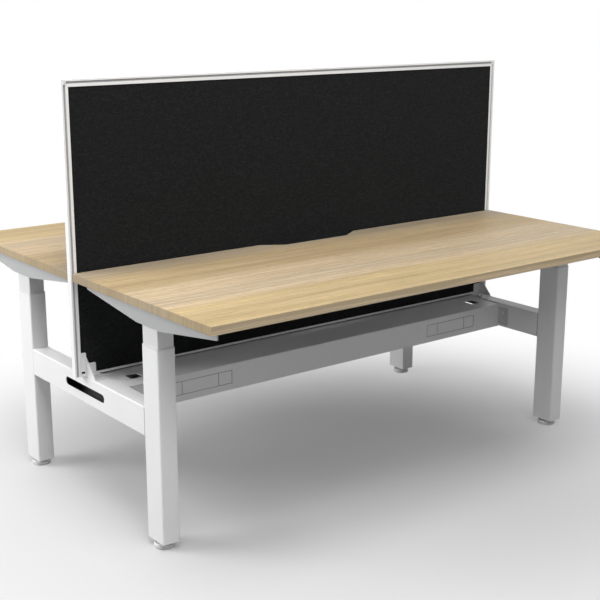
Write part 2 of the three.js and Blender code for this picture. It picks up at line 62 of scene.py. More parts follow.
# Studio: a pale paper floor that runs out to white, a dim white dome, and large
# diffused lamps above and to the left of the bench. Only the floor is geometry,
# and it isn't part of the object.
FLOOR_RADIUS = 14.0
FLOOR_TONE = (0.61, 0.61, 0.61, 1.0)
FLOOR_BOUNCE = (0.42, 0.42, 0.42, 1.0)
FADE_CENTRE = (-0.08, -0.29, 0.0)
FADE_START = 0.50
FADE_END = 2.0
FADE_LEAST = 0.04
DOME_LIGHT = 0.079
LAMPS = (
    ("lamp_left_rear", (-4.07, 1.90, 2.79), 3.0, 140.0),
    ("lamp_rear", (0.0, 3.72, 3.95), 3.0, 12.0),
    ("lamp_rear_low", (-3.50, 3.50, 1.60), 3.0, 38.0),
    ("lamp_above", (-1.36, -1.62, 5.13), 3.0, 150.0),
    ("lamp_front", (-1.27, -3.49, 3.95), 3.0, 76.0),
    ("lamp_front_right", (1.27, -3.49, 3.95), 3.0, 20.0),
    ("lamp_right", (4.80, 0.00, 1.40), 3.0, 24.0),
)
LAMP_AIM = Vector((0.0, 0.0, 0.6))


def add_node(tree, kind, inputs=None, **options):
    made = tree.nodes.new(kind)
    for option, value in options.items():
        setattr(made, option, value)
    for socket, value in (inputs or {}).items():
        if isinstance(value, bpy.types.NodeSocket):
            tree.links.new(value, made.inputs[socket])
        else:
            made.inputs[socket].default_value = value
    return made


def combine(tree, operation, first, second):
    return add_node(tree, "ShaderNodeMath", {0: first, 1: second}, operation=operation).outputs[0]


def start_material(name):
    material = bpy.data.materials.new(name)
    material.use_nodes = True
    material.node_tree.nodes.clear()
    return material, material.node_tree


def seen_directly(tree):
    rays = add_node(tree, "ShaderNodeLightPath").outputs
    direct = combine(tree, "MAXIMUM", rays["Is Camera Ray"], rays["Is Glossy Ray"])
    return combine(tree, "MAXIMUM", direct, rays["Is Transmission Ray"])


paper, tree = start_material("studio_paper")
stand = add_node(tree, "ShaderNodeNewGeometry").outputs
place = stand["Position"]
reach = add_node(tree, "ShaderNodeVectorMath", {0: place, 1: FADE_CENTRE}, operation="DISTANCE")
fade = add_node(tree, "ShaderNodeMapRange", {
    "Value": reach.outputs["Value"], "From Min": FADE_START, "From Max": FADE_END, "To Min": FADE_LEAST,
}, interpolation_type="SMOOTHSTEP")
fibres = add_node(tree, "ShaderNodeTexNoise", {"Vector": place, "Scale": 900.0, "Detail": 2.0})
fibre_bump = add_node(tree, "ShaderNodeBump", {
    "Height": fibres.outputs["Fac"], "Strength": 0.05, "Distance": 0.0005,
})
direct = seen_directly(tree)
tone = add_node(tree, "ShaderNodeMix", {0: direct, 6: FLOOR_BOUNCE, 7: FLOOR_TONE}, data_type="RGBA").outputs[2]
sheet = add_node(tree, "ShaderNodeBsdfPrincipled", {
    "Base Color": tone, "Roughness": 0.9, "Specular IOR Level": 0.1,
    "Normal": fibre_bump.outputs["Normal"],
})
white = add_node(tree, "ShaderNodeEmission", {"Color": (1.0, 1.0, 1.0, 1.0), "Strength": 1.0})
# Seen directly, the floor glows white by emission, fully beyond FADE_END from FADE_CENTRE and at FADE_LEAST even
# under the bench: painted light that lightens the floor and the bench's shadow on it.
amount = combine(tree, "MULTIPLY", fade.outputs["Result"], direct)
run_out = add_node(tree, "ShaderNodeMixShader", {
    0: amount, 1: sheet.outputs["BSDF"], 2: white.outputs["Emission"],
})
clear = add_node(tree, "ShaderNodeBsdfTransparent")
one_sided = add_node(tree, "ShaderNodeMixShader", {
    0: combine(tree, "MULTIPLY", stand["Backfacing"], direct),
    1: run_out.outputs["Shader"], 2: clear.outputs["BSDF"],
})
add_node(tree, "ShaderNodeOutputMaterial", {"Surface": one_sided.outputs["Shader"]})

floor_form = bmesh.new()
bmesh.ops.create_circle(floor_form, cap_ends=True, segments=96, radius=FLOOR_RADIUS)
floor_mesh = bpy.data.meshes.new("studio_floor")
floor_form.to_mesh(floor_mesh)
floor_form.free()
floor_mesh.materials.append(paper)
floor = bpy.data.objects.new("studio_floor", floor_mesh)
scene.collection.objects.link(floor)

dome = bpy.data.worlds.new("studio_dome")
dome.use_nodes = True
tree = dome.node_tree
tree.nodes.clear()
dim = add_node(tree, "ShaderNodeBackground", {"Color": (1.0, 1.0, 1.0, 1.0), "Strength": DOME_LIGHT})
bright = add_node(tree, "ShaderNodeBackground", {"Color": (1.0, 1.0, 1.0, 1.0), "Strength": 1.0})
sky = add_node(tree, "ShaderNodeMixShader", {
    0: seen_directly(tree), 1: dim.outputs["Background"], 2: bright.outputs["Background"],
})
add_node(tree, "ShaderNodeOutputWorld", {"Surface": sky.outputs["Shader"]})
scene.world = dome
scene.view_settings.view_transform = "Standard"

for lamp_name, lamp_place, lamp_size, lamp_power in LAMPS:
    diffuser = bpy.data.lights.new(lamp_name, "AREA")
    diffuser.shape = "DISK"
    diffuser.size = lamp_size
    diffuser.energy = lamp_power
    lamp = bpy.data.objects.new(lamp_name, diffuser)
    lamp.location = lamp_place
    lamp.rotation_euler = (LAMP_AIM - Vector(lamp_place)).to_track_quat("-Z", "Y").to_euler()
    lamp.visible_camera = False
    scene.collection.objects.link(lamp)


# Levelling feet: a white moulded disc under each leg, pressed on a zinc-plated
# stud with a spanner hexagon, which screws into the plate in the leg's foot.
FOOT_WHITE = (0.80, 0.80, 0.79, 1.0)
ZINC_GREY = (0.55, 0.56, 0.58, 1.0)
ENDS = {"left": -1, "right": 1}
ROWS = {"front": -1, "rear": 1}
CORNERS = [f"{row}_{end}" for row in ROWS for end in ENDS]
FOOT_RADIUS = 0.031
FOOT_SHOULDER = 0.011
FOOT_TOP = 0.015
HEXAGON_TOP = 0.0237
HEXAGON_RADIUS = 0.0098
STUD_RADIUS = 0.005
STUD_TOP = 0.039
THREAD_PITCH = 0.0015


def finish_group(name, inputs, outputs):
    group = bpy.data.node_groups.new(name, "ShaderNodeTree")
    for label, kind in inputs:
        group.interface.new_socket(label, in_out="INPUT", socket_type=kind)
    for label, kind in outputs:
        group.interface.new_socket(label, in_out="OUTPUT", socket_type=kind)
    entry = group.nodes.new("NodeGroupInput").outputs
    leave = group.nodes.new("NodeGroupOutput").inputs
    return group, entry, leave


def spread(tree, value, low, high):
    return add_node(tree, "ShaderNodeMapRange", {
        "Value": value, "From Min": 0.3, "From Max": 0.7, "To Min": low, "To Max": high,
    }).outputs["Result"]


def tinted(tree, colour, amount):
    return add_node(tree, "ShaderNodeVectorMath", {0: colour, "Scale": amount}, operation="SCALE").outputs["Vector"]


COLOUR_IN = ("Colour", "NodeSocketColor")
SURFACE_OUT = (
    ("Colour", "NodeSocketColor"), ("Roughness", "NodeSocketFloat"), ("Height", "NodeSocketFloat"),
)

moulded_plastic, entry, leave = finish_group("moulded_plastic", (
    COLOUR_IN, ("Texture Scale", "NodeSocketFloat"), ("Sheen Break", "NodeSocketFloat"),
), SURFACE_OUT)
place = add_node(moulded_plastic, "ShaderNodeTexCoord").outputs["Object"]
grit = add_node(moulded_plastic, "ShaderNodeTexNoise", {
    "Vector": place, "Scale": entry["Texture Scale"], "Detail": 3.0, "Roughness": 0.6,
}).outputs["Fac"]
flow = add_node(moulded_plastic, "ShaderNodeTexNoise", {"Vector": place, "Scale": 24.0, "Detail": 2.0}).outputs["Fac"]
toned = tinted(moulded_plastic, entry["Colour"], spread(moulded_plastic, flow, 0.96, 1.03))
moulded_plastic.links.new(toned, leave["Colour"])
broken = combine(moulded_plastic, "MULTIPLY", grit, entry["Sheen Break"])
rough = combine(moulded_plastic, "ADD", broken, spread(moulded_plastic, flow, 0.42, 0.5))
moulded_plastic.links.new(rough, leave["Roughness"])
moulded_plastic.links.new(grit, leave["Height"])

bare_steel, entry, leave = finish_group("bare_steel", (
    COLOUR_IN, ("Draw Scale", "NodeSocketVector"),
), SURFACE_OUT)
place = add_node(bare_steel, "ShaderNodeTexCoord").outputs["Object"]
drawn = add_node(bare_steel, "ShaderNodeVectorMath", {0: place, 1: entry["Draw Scale"]}, operation="MULTIPLY")
lines = add_node(bare_steel, "ShaderNodeTexNoise", {"Vector": drawn.outputs["Vector"], "Detail": 3.0}).outputs["Fac"]
stain = add_node(bare_steel, "ShaderNodeTexNoise", {"Vector": place, "Scale": 60.0, "Detail": 4.0}).outputs["Fac"]
toned = tinted(bare_steel, entry["Colour"], spread(bare_steel, stain, 0.88, 1.06))
bare_steel.links.new(toned, leave["Colour"])
rough = combine(bare_steel, "ADD", spread(bare_steel, lines, 0.22, 0.36), spread(bare_steel, stain, 0.0, 0.1))
bare_steel.links.new(rough, leave["Roughness"])
bare_steel.links.new(lines, leave["Height"])


def finished(name, group, values, bump, metallic=0.0):
    material, tree = start_material(name)
    surface = add_node(tree, "ShaderNodeGroup", values, node_tree=group).outputs
    relief = add_node(tree, "ShaderNodeBump", {
        "Height": surface["Height"], "Strength": 0.4, "Distance": bump,
    })
    shader = add_node(tree, "ShaderNodeBsdfPrincipled", {
        "Base Color": surface["Colour"], "Roughness": surface["Roughness"],
        "Metallic": metallic, "Normal": relief.outputs["Normal"],
    })
    add_node(tree, "ShaderNodeOutputMaterial", {"Surface": shader.outputs["BSDF"]})
    return material


def grouped(material_name, group, values, bump, metallic=0.0):
    material = bpy.data.materials.get(material_name)
    return material or finished(material_name, group, values, bump, metallic)


def turned(profile, sides, at=(0.0, 0.0, 0.0)):
    form = bmesh.new()
    rings = []
    for radius, height in profile:
        ring = []
        for step in range(sides):
            turn = 2.0 * math.pi * step / sides
            ring.append(form.verts.new((
                at[0] + radius * math.cos(turn), at[1] + radius * math.sin(turn), at[2] + height)))
        rings.append(ring)
    for low, high in zip(rings, rings[1:]):
        for step in range(sides):
            after = (step + 1) % sides
            form.faces.new((low[step], low[after], high[after], high[step]))
    bmesh.ops.remove_doubles(form, verts=form.verts, dist=1e-6)
    bmesh.ops.recalc_face_normals(form, faces=form.faces)
    return form


def to_mesh(form, name, crease=38.0):
    mesh = bpy.data.meshes.new(name)
    form.to_mesh(mesh)
    form.free()
    mesh.shade_smooth()
    mesh.set_sharp_from_angle(angle=math.radians(crease))
    return mesh


def add_piece(name, mesh, body, slot, materials, *nodes):
    for material in materials:
        mesh.materials.append(material)
    piece = bpy.data.objects.new(name, mesh)
    scene.collection.objects.link(piece)
    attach(piece, body)
    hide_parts(*nodes)
    return piece


def merge(form, other):
    joined = bpy.data.meshes.new("joined")
    other.to_mesh(joined)
    other.free()
    form.from_mesh(joined)
    bpy.data.meshes.remove(joined)


foot_plastic = finished("foot_plastic", moulded_plastic, {
    "Colour": FOOT_WHITE, "Texture Scale": 1800.0, "Sheen Break": 0.1,
}, 0.0002)
zinc = finished("zinc_plate", bare_steel, {
    "Colour": ZINC_GREY, "Draw Scale": (900.0, 900.0, 90.0),
}, 0.0001, metallic=1.0)

foot_profile = [(0.0, 0.0), (FOOT_RADIUS - 0.0015, 0.0), (FOOT_RADIUS - 0.0004, 0.0005), (FOOT_RADIUS, 0.0017)]
for step in range(7):
    turn = 0.5 * math.pi * step / 6
    rise = FOOT_TOP - FOOT_SHOULDER
    foot_profile.append((
        FOOT_RADIUS - rise * (1.0 - math.cos(turn)), FOOT_SHOULDER + rise * math.sin(turn)))
foot_profile += [(0.0165, FOOT_TOP), (0.0155, FOOT_TOP - 0.0012), (0.0118, FOOT_TOP - 0.0012)]
foot_profile += [(0.0112, FOOT_TOP - 0.0004), (STUD_RADIUS, FOOT_TOP - 0.0004)]

thread_profile = [(0.0, FOOT_TOP - 0.002), (STUD_RADIUS - 0.0006, FOOT_TOP - 0.002)]
height = HEXAGON_TOP
while height < STUD_TOP - THREAD_PITCH:
    thread_profile += [(STUD_RADIUS - 0.0009, height), (STUD_RADIUS, height + THREAD_PITCH / 2)]
    height += THREAD_PITCH
thread_profile += [(STUD_RADIUS - 0.0012, STUD_TOP), (0.0, STUD_TOP)]
hexagon_profile = [
    (0.0, FOOT_TOP), (HEXAGON_RADIUS - 0.0012, FOOT_TOP), (HEXAGON_RADIUS, FOOT_TOP + 0.0008),
    (HEXAGON_RADIUS, HEXAGON_TOP - 0.0008), (HEXAGON_RADIUS - 0.0012, HEXAGON_TOP), (0.0, HEXAGON_TOP),
]

for corner in CORNERS:
    low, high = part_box(f"foot_{corner}")
    axis = ((low.x + high.x) / 2, (low.y + high.y) / 2, 0.0)
    disc = to_mesh(turned(foot_profile, 72, axis), "foot_disc", crease=30.0)
    add_piece(f"foot_{corner}.disc", disc, f"foot_{corner}", "foot_plastic", [foot_plastic], f"foot_{corner}")
    stud = turned(thread_profile, 28, axis)
    merge(stud, turned(hexagon_profile, 6, axis))
    add_piece(
        f"foot_{corner}.stud", to_mesh(stud, "foot_stud"), f"foot_{corner}", "steel", [zinc], f"foot_{corner}")


# Legs: rectangular steel tubes, the fixed outer stage of the lifting columns.
# Cut to length, welded to the cross rails, and powder-coated white with the rails.
COAT_WHITE = (0.87, 0.87, 0.87, 1.0)
TUBE_ARRIS = 0.0005

powder_coat, entry, leave = finish_group("powder_coat", (
    COLOUR_IN, ("Mottle", "NodeSocketFloat"), ("Peel Scale", "NodeSocketFloat"),
), SURFACE_OUT)
place = add_node(powder_coat, "ShaderNodeTexCoord").outputs["Object"]
peel = add_node(powder_coat, "ShaderNodeTexNoise", {
    "Vector": place, "Scale": entry["Peel Scale"], "Detail": 2.0, "Roughness": 0.45,
}).outputs["Fac"]
cloud = add_node(powder_coat, "ShaderNodeTexNoise", {"Vector": place, "Scale": 6.0, "Detail": 4.0}).outputs["Fac"]
drift = combine(powder_coat, "MULTIPLY", spread(powder_coat, cloud, -1.0, 1.0), entry["Mottle"])
speck = spread(powder_coat, peel, -0.006, 0.006)
shade = combine(powder_coat, "ADD", combine(powder_coat, "ADD", drift, speck), 1.0)
powder_coat.links.new(tinted(powder_coat, entry["Colour"], shade), leave["Colour"])
rough = combine(powder_coat, "ADD", spread(powder_coat, cloud, 0.36, 0.44), spread(powder_coat, peel, 0.0, 0.06))
powder_coat.links.new(rough, leave["Roughness"])
powder_coat.links.new(peel, leave["Height"])

coated_steel = finished("coated_steel", powder_coat, {
    "Colour": COAT_WHITE, "Mottle": 0.012, "Peel Scale": 620.0,
}, 0.00025)


def solid_of(node):
    form = bmesh.new()
    form.from_mesh(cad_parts[node].data)
    bmesh.ops.remove_doubles(form, verts=form.verts, dist=1e-6)
    bmesh.ops.dissolve_limit(form, angle_limit=math.radians(0.6), verts=form.verts, edges=form.edges)
    return form


def ease(form, arris, steps=2, least=40.0):
    turn = math.radians(least)
    sharp = [edge for edge in form.edges if edge.is_manifold and edge.calc_face_angle() > turn]
    bmesh.ops.bevel(
        form, geom=sharp, offset=arris, segments=steps, profile=0.5, affect="EDGES", clamp_overlap=True)
    return form


def flat_lit(piece):
    shading = piece.modifiers.new("flat_faces", "WEIGHTED_NORMAL")
    shading.mode = "FACE_AREA"
    shading.weight = 80
    return piece


def dressed(node, label, body, slot, material, arris, least=40.0):
    mesh = to_mesh(ease(solid_of(node), arris, least=least), f"{node}_{label}", crease=60.0)
    return flat_lit(add_piece(f"{node}.{label}", mesh, body, slot, [material], node))


for corner in CORNERS:
    dressed(f"leg_{corner}", "tube", "base_frame", "white_steel", coated_steel, TUBE_ARRIS)


# Guide collars: thin rings of white nylon on the rim of each leg, which the inner
# column slides through. Moulded, and pressed into the tube's mouth.
COLLAR_WHITE = (0.78, 0.78, 0.775, 1.0)
collar_nylon = finished("collar_nylon", moulded_plastic, {
    "Colour": COLLAR_WHITE, "Texture Scale": 1400.0, "Sheen Break": 0.16,
}, 0.0002)
for corner in CORNERS:
    dressed(f"leg_collar_{corner}", "ring", "base_frame", "white_plastic", collar_nylon, 0.0004)


# Nut posts: inside each leg, a pressed plate with a steel post that carries the
# lifting spindle's nut. Bare steel, welded, and out of sight.
POST_GREY = (0.42, 0.43, 0.44, 1.0)
post_steel = finished("post_steel", bare_steel, {
    "Colour": POST_GREY, "Draw Scale": (400.0, 400.0, 25.0),
}, 0.0002, metallic=1.0)
for corner in CORNERS:
    dressed(f"nut_post_{corner}", "welded", "base_frame", "steel", post_steel, 0.0005)


# Cross rails: rectangular steel tubes that join the front and rear legs of each
# end, with a long cable slot cut through both faces. Powder-coated with the legs,
# and bare and dark inside, where the coat doesn't reach.
BORE_DARK = (0.085, 0.085, 0.088, 1.0)
RAIL_ARRIS = 0.0004
BORE_MARGIN = 0.0018
bore_steel = finished("bore_steel", moulded_plastic, {
    "Colour": BORE_DARK, "Texture Scale": 260.0, "Sheen Break": 0.2,
}, 0.0003)
for end in ENDS:
    node = f"cross_rail_{end}"
    rail = dressed(node, "tube", "base_frame", "white_steel", coated_steel, RAIL_ARRIS)
    rail.data.materials.append(bore_steel)
    low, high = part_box(node)
    for face in rail.data.polygons:
        middle = face.center
        in_x = low.x + BORE_MARGIN < middle.x < high.x - BORE_MARGIN
        in_z = low.z + BORE_MARGIN < middle.z < high.z - BORE_MARGIN
        face.material_index = 1 if in_x and in_z and abs(face.normal.y) < 0.5 else 0


# Cable duct trough: folded from sheet steel, with scored outlet panels in its long
# walls and end tabs, each bolted on a cross rail with two button-head bolts.
SCORE_PAINTED_SHADE = (0.05, 0.05, 0.05, 1.0)
SCORE_LARGEST = 0.0005
TAB_LENGTH = 0.047
TAB_PAINTED_SHADE = (0.58, 0.58, 0.58, 1.0)
BOLT_GREY = (0.62, 0.63, 0.64, 1.0)
BOLT_HEAD = 0.0045
BOLT_RISE = 0.0026


def button_bolt(at, out, radius=BOLT_HEAD, rise=BOLT_RISE):
    profile = [(0.0, 0.0), (radius, 0.0), (radius, rise * 0.25), (radius * 0.94, rise * 0.55)]
    profile += [(radius * 0.8, rise * 0.84), (radius * 0.58, rise), (radius * 0.46, rise)]
    profile += [(radius * 0.4, rise * 0.45), (0.0, rise * 0.4)]
    head = turned(profile, 24)
    aim = Vector((0.0, 0.0, 1.0)).rotation_difference(Vector(out))
    bmesh.ops.rotate(head, verts=head.verts, matrix=aim.to_matrix())
    bmesh.ops.translate(head, verts=head.verts, vec=Vector(at))
    return head


def bolt_set(name, body, places, radius=BOLT_HEAD, rise=BOLT_RISE):
    heads = bmesh.new()
    for at, out in places:
        merge(heads, button_bolt(at, out, radius, rise))
    return add_piece(name, to_mesh(heads, name, crease=35.0), body, "steel", [bolt_zinc])


bolt_zinc = finished("bolt_zinc", bare_steel, {
    "Colour": BOLT_GREY, "Draw Scale": (700.0, 700.0, 700.0),
}, 0.0001, metallic=1.0)
# Near black in the score lines: painted shade, standing in for the dark duct seen through the cuts.
score_shade = finished("score_shade", moulded_plastic, {
    "Colour": SCORE_PAINTED_SHADE, "Texture Scale": 700.0, "Sheen Break": 0.2,
}, 0.0001)
# The end tabs' coat is grey, darker than the trough's white: painted shade on the tabs.
tab_shade_coat = finished("tab_shade_coat", powder_coat, {
    "Colour": TAB_PAINTED_SHADE, "Mottle": 0.03, "Peel Scale": 620.0,
}, 0.00025)
trough = dressed("cable_duct_trough", "folded", "base_frame", "white_steel", coated_steel, 0.0002)
trough.data.materials.append(score_shade)
trough.data.materials.append(tab_shade_coat)
low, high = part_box("cable_duct_trough")
wall_face = high.y - TAB_LENGTH
# Faces in the score lines get the near-black painted shade; faces beyond the wall, on the end tabs, get the grey
# painted shade.
for face in trough.data.polygons:
    depth = wall_face - abs(face.center.y)
    if 0.00025 < depth < 0.0009 and face.area < SCORE_LARGEST and abs(face.normal.z) < 0.99:
        face.material_index = 1
    elif depth < -0.0005:
        face.material_index = 2
tab_face = high.x - 0.002
tab_middle = high.y - TAB_LENGTH / 2
tab_bolts = []
for end in ENDS.values():
    for row in ROWS.values():
        for rise in (0.026, 0.058):
            tab_bolts.append(((end * tab_face, row * tab_middle, low.z + rise), (-end, 0.0, 0.0)))
bolt_set("cable_duct_tab_bolts", "base_frame", tab_bolts)


# Cable duct lid: a flat sheet of the same coated steel laid on the trough, with a
# square cable hole near each corner.
dressed("cable_duct_lid", "sheet", "base_frame", "white_steel", coated_steel, 0.0004)


# Screen brackets: folded and welded plates, one on each face of the screen at each
# rail. The base is bolted on the rail, a slanted gusset braces the back plate, and
# the back plate's upper corners are rounded.
BRACKET_ROUND = 0.0045
BRACKET_PLATE = 0.003
for corner in CORNERS:
    node = f"screen_bracket_{corner}"
    low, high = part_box(node)
    bracket = solid_of(node)
    rounded = []
    for edge in bracket.edges:
        first, last = (vertex.co for vertex in edge.verts)
        level = abs(first.z - last.z) < 1e-5 and abs(first.x - last.x) < 1e-5
        plate_thick = abs(abs(first.y - last.y) - BRACKET_PLATE) < 1e-5
        if level and plate_thick and first.z > low.z + 0.035 and edge.calc_face_angle() > 1.0:
            rounded.append(edge)
    bmesh.ops.bevel(bracket, geom=rounded, offset=BRACKET_ROUND, segments=6, profile=0.5, affect="EDGES")
    mesh = to_mesh(ease(bracket, 0.0003, least=50.0), node, crease=60.0)
    flat_lit(add_piece(f"{node}.plates", mesh, "base_frame", "white_steel", [coated_steel], node))

bracket_bolts = []
for end in ENDS.values():
    for row in ROWS.values():
        for reach in (0.034, 0.056):
            bracket_bolts.append(((end * 0.845, row * reach, 0.4278), (0.0, 0.0, 1.0)))
bolt_set("screen_bracket_bolts", "base_frame", bracket_bolts, radius=0.004, rise=0.0022)


# Screen frame: white-coated aluminium extrusions with a shadow groove near the
# outer edge, mitred at the two upper corners, where small moulded blocks close the
# groove. The groove's floor is coated mid grey, painted shade in the recess. The sill
# is a plain channel between the posts, standing on a thin dark strip that is painted
# contact shadow between the sill and the lid.
FRAME_WHITE = (0.92, 0.92, 0.92, 1.0)
GROOVE_PAINTED_SHADE = (0.36, 0.36, 0.36, 1.0)
GROOVE_FLOOR = 0.006
GROOVE_START = 0.0055
GROOVE_END = 0.0125
CORNER_BLOCK = 0.016
CONTACT_SHADOW_DARK = (0.045, 0.045, 0.047, 1.0)
CONTACT_SHADOW_HEIGHT = 0.0018
CONTACT_SHADOW_PROUD = 0.0012
coated_aluminium = finished("coated_aluminium", powder_coat, {
    "Colour": FRAME_WHITE, "Mottle": 0.008, "Peel Scale": 760.0,
}, 0.0002)
# Mid grey on the floor of the frame's groove: painted shade in the recess.
groove_shade_coat = finished("groove_shade_coat", powder_coat, {
    "Colour": GROOVE_PAINTED_SHADE, "Mottle": 0.02, "Peel Scale": 760.0,
}, 0.0002)
for side in ("top", "bottom", "left", "right"):
    node = f"screen_frame_{side}"
    mesh = to_mesh(ease(solid_of(node), 0.0003), node, crease=60.0)
    bar = add_piece(f"{node}.bar", mesh, "base_frame", "white_aluminium", [coated_aluminium, groove_shade_coat], node)
    flat_lit(bar)
    for face in mesh.polygons:
        on_floor = abs(abs(face.center.y) - GROOVE_FLOOR) < 0.0004
        face.material_index = 1 if on_floor and side != "bottom" else 0

# A thin near-black strip along the sill's foot: painted contact shadow between the sill and the lid.
low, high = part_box("screen_frame_bottom")
shadow_strip = bmesh.new()
bmesh.ops.create_cube(shadow_strip, size=1.0)
for vertex in shadow_strip.verts:
    vertex.co.x = math.copysign(high.x - 0.001, vertex.co.x)
    vertex.co.y = math.copysign(high.y + CONTACT_SHADOW_PROUD, vertex.co.y)
    vertex.co.z = low.z if vertex.co.z < 0 else low.z + CONTACT_SHADOW_HEIGHT
shadow_strip_paint = finished("shadow_strip_paint", moulded_plastic, {
    "Colour": CONTACT_SHADOW_DARK, "Texture Scale": 900.0, "Sheen Break": 0.25,
}, 0.0002)
shadow_strip_mesh = to_mesh(ease(shadow_strip, 0.0004), "screen_shadow_strip", crease=60.0)
add_piece("screen_frame_shadow_strip", shadow_strip_mesh, "base_frame", "black_plastic", [shadow_strip_paint])

low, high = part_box("screen_frame_top")
frame_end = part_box("screen_frame_right")[1].x
elbow = (
    (GROOVE_START, GROOVE_START), (CORNER_BLOCK, GROOVE_START), (CORNER_BLOCK, GROOVE_END),
    (GROOVE_END, GROOVE_END), (GROOVE_END, CORNER_BLOCK), (GROOVE_START, CORNER_BLOCK),
)
blocks = bmesh.new()
for end in ENDS.values():
    for row in ROWS.values():
        block = bmesh.new()
        outline = [
            block.verts.new((end * (frame_end - across), row * GROOVE_FLOOR, high.z - down))
            for across, down in elbow]
        block.faces.new(outline)
        lifted = bmesh.ops.extrude_face_region(block, geom=block.faces[:])["geom"]
        raised = [item for item in lifted if isinstance(item, bmesh.types.BMVert)]
        bmesh.ops.translate(block, verts=raised, vec=(0.0, row * (high.y - GROOVE_FLOOR - 0.0002), 0.0))
        bmesh.ops.recalc_face_normals(block, faces=block.faces)
        merge(blocks, ease(block, 0.0003))
block_plastic = finished("corner_block_plastic", moulded_plastic, {
    "Colour": COLLAR_WHITE, "Texture Scale": 1500.0, "Sheen Break": 0.1,
}, 0.0001)
add_piece(
    "screen_frame_corner_blocks", to_mesh(blocks, "corner_blocks", crease=60.0), "base_frame",
    "white_plastic", [block_plastic])


# Screen panel: a light pressed-fibre board with charcoal woven cloth stretched over
# each face and glued behind its edges, held in the slots of the frame.
CLOTH_DARK = (0.0205, 0.0212, 0.0227, 1.0)
FLECK_GREY = (0.068, 0.071, 0.077, 1.0)
BOARD_GREY = (0.10, 0.10, 0.105, 1.0)
CLOTH_THICK = 0.0012
YARN = 0.0014

woven_cloth, entry, leave = finish_group("woven_cloth", (
    COLOUR_IN, ("Fleck", "NodeSocketColor"), ("Yarn", "NodeSocketFloat"),
), SURFACE_OUT)
place = add_node(woven_cloth, "ShaderNodeTexCoord").outputs["Object"]
split = add_node(woven_cloth, "ShaderNodeSeparateXYZ", {0: place}).outputs
count = combine(woven_cloth, "DIVIDE", math.pi, entry["Yarn"])
warp = add_node(woven_cloth, "ShaderNodeMath", {
    0: combine(woven_cloth, "MULTIPLY", split["X"], count)}, operation="SINE").outputs[0]
weft = add_node(woven_cloth, "ShaderNodeMath", {
    0: combine(woven_cloth, "MULTIPLY", split["Z"], count)}, operation="SINE").outputs[0]
over = combine(woven_cloth, "MULTIPLY", warp, weft)
weave = combine(woven_cloth, "MULTIPLY_ADD", over, 0.5)
weave.node.inputs[2].default_value = 0.5
lint = add_node(woven_cloth, "ShaderNodeTexNoise", {
    "Vector": place, "Scale": 420.0, "Detail": 3.0, "Roughness": 0.7}).outputs["Fac"]
slub_place = add_node(woven_cloth, "ShaderNodeVectorMath", {0: place, 1: (60.0, 60.0, 420.0)}, operation="MULTIPLY")
slub = add_node(woven_cloth, "ShaderNodeTexNoise", {
    "Vector": slub_place.outputs["Vector"], "Scale": 1.0, "Detail": 2.0}).outputs["Fac"]
fleck = add_node(woven_cloth, "ShaderNodeMapRange", {
    "Value": combine(woven_cloth, "ADD", combine(woven_cloth, "MULTIPLY", lint, 0.6),
                     combine(woven_cloth, "MULTIPLY", slub, 0.4)),
    "From Min": 0.5, "From Max": 0.72, "To Max": 0.55,
}).outputs["Result"]
flecked = add_node(woven_cloth, "ShaderNodeMix", {
    0: fleck, 6: entry["Colour"], 7: entry["Fleck"]}, data_type="RGBA").outputs[2]
melange = add_node(woven_cloth, "ShaderNodeTexNoise", {
    "Vector": place, "Scale": 170.0, "Detail": 2.0, "Roughness": 0.6}).outputs["Fac"]
mixed = combine(
    woven_cloth, "MULTIPLY", spread(woven_cloth, weave, 0.84, 1.14), spread(woven_cloth, melange, 0.72, 1.32))
woven_cloth.links.new(tinted(woven_cloth, flecked, mixed), leave["Colour"])
woven_cloth.links.new(spread(woven_cloth, lint, 0.86, 0.98), leave["Roughness"])
raised = combine(woven_cloth, "ADD", weave, combine(woven_cloth, "MULTIPLY", lint, 0.6))
woven_cloth.links.new(raised, leave["Height"])

charcoal_cloth = finished("charcoal_cloth", woven_cloth, {
    "Colour": CLOTH_DARK, "Fleck": FLECK_GREY, "Yarn": YARN,
}, 0.0003)
charcoal_cloth.node_tree.nodes["Principled BSDF"].inputs["Specular IOR Level"].default_value = 0.2
charcoal_cloth.node_tree.nodes["Principled BSDF"].inputs["Sheen Weight"].default_value = 0.12
fibre_board = finished("fibre_board", moulded_plastic, {
    "Colour": BOARD_GREY, "Texture Scale": 500.0, "Sheen Break": 0.3,
}, 0.0006)

low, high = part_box("screen_panel")
core = bmesh.new()
bmesh.ops.create_cube(core, size=1.0)
for vertex in core.verts:
    depth = high.y - CLOTH_THICK - 0.0001
    vertex.co.x = math.copysign(high.x - CLOTH_THICK, vertex.co.x)
    vertex.co.y = math.copysign(depth, vertex.co.y)
    vertex.co.z = low.z + CLOTH_THICK if vertex.co.z < 0 else high.z - CLOTH_THICK
core_mesh = to_mesh(ease(core, 0.0008), "screen_core", crease=60.0)
add_piece("screen_panel.core", core_mesh, "base_frame", "screen_fabric", [fibre_board], "screen_panel")

